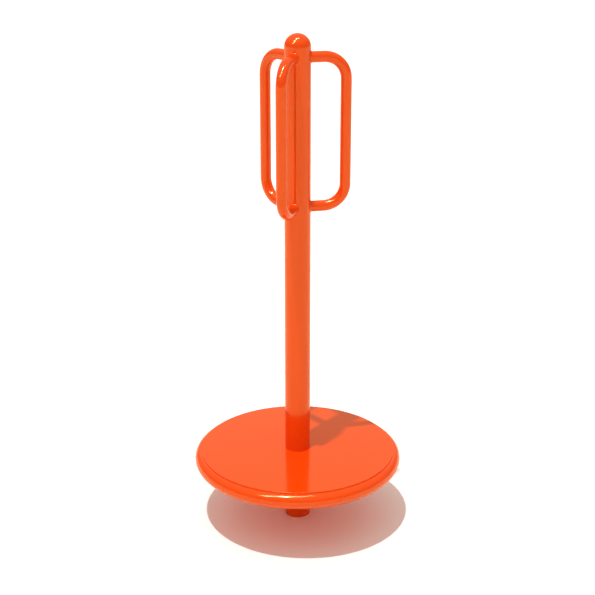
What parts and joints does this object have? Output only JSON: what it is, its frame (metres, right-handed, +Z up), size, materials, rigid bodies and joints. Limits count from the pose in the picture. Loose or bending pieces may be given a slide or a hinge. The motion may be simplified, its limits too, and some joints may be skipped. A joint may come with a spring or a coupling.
{
  "type": "stand-up playground spinner",
  "caption": "Small merry-go-round for standing riders: a round deck with a tube rim and a central pole with grab loops turn together on bearings over a fixed ground post.",
  "frame": {"origin": "centre of the anchor flange's underside, on the pole's axis", "axes": "+Z up along the pole and the spin axis, +X through the middle of the first grab loop; the ground line is at z = 0.060"},
  "size_m": [0.5, 0.5, 1.243],
  "materials": {
    "powder_coat": "glossy orange powder coat on galvanised steel",
    "galvanised_steel": "hot-dip galvanised, matt with spangle",
    "machined_steel": "turned steel, lightly oiled",
    "zinc_plate": "bright zinc plate",
    "bearing_steel": "ground and polished bearing steel",
    "cage_brass": "machined brass",
    "seal_rubber": "matt black nitrile rubber"
  },
  "bodies": {
    "ground_anchor": {"base_flange": "galvanised_steel", "base_gusset_1": "galvanised_steel", "base_gusset_2": "galvanised_steel", "base_gusset_3": "galvanised_steel", "base_gusset_4": "galvanised_steel", "ground_post": "powder_coat", "post_head": "powder_coat", "spindle": "machined_steel", "spindle_washer": "zinc_plate", "spindle_nut": "zinc_plate", "lower_bearing_inner": "bearing_steel", "upper_bearing_inner": "bearing_steel", "bearing_spacer": "machined_steel", "tab_washer": "zinc_plate", "lock_nut": "zinc_plate"},
    "ball_sets": {"lower_bearing_balls": "bearing_steel", "lower_bearing_cage": "cage_brass", "upper_bearing_balls": "bearing_steel", "upper_bearing_cage": "cage_brass"},
    "spinner": {"bearing_housing": "machined_steel", "shaft_seal": "seal_rubber", "lower_bearing_outer": "bearing_steel", "upper_bearing_outer": "bearing_steel", "retaining_ring": "machined_steel", "hub_bolts": "zinc_plate", "hub_washers": "zinc_plate", "centre_plate": "powder_coat", "deck_spoke_1": "powder_coat", "deck_spoke_2": "powder_coat", "deck_spoke_3": "powder_coat", "deck_spoke_4": "powder_coat", "deck_spoke_5": "powder_coat", "deck_spoke_6": "powder_coat", "rim_tube": "powder_coat", "deck_sheet": "powder_coat", "under_cover_right": "powder_coat", "under_cover_left": "powder_coat", "cover_screws": "zinc_plate", "pole": "powder_coat", "pole_dome": "powder_coat", "grab_loop_1": "powder_coat", "grab_loop_2": "powder_coat", "grab_loop_3": "powder_coat"}
  },
  "joints": [
    {"name": "spin", "type": "hinge", "parent": "ground_anchor", "child": "spinner", "pos_m": [0, 0, 0.168], "axis": [0, 0, 1], "continuous": true},
    {"name": "ball_roll", "type": "hinge", "parent": "ground_anchor", "child": "ball_sets", "pos_m": [0, 0, 0.168], "axis": [0, 0, 1], "continuous": true}
  ],
  "couplings": [
    {"joint": "ball_roll", "follows": "spin", "ratio": 0.6033}
  ]
}
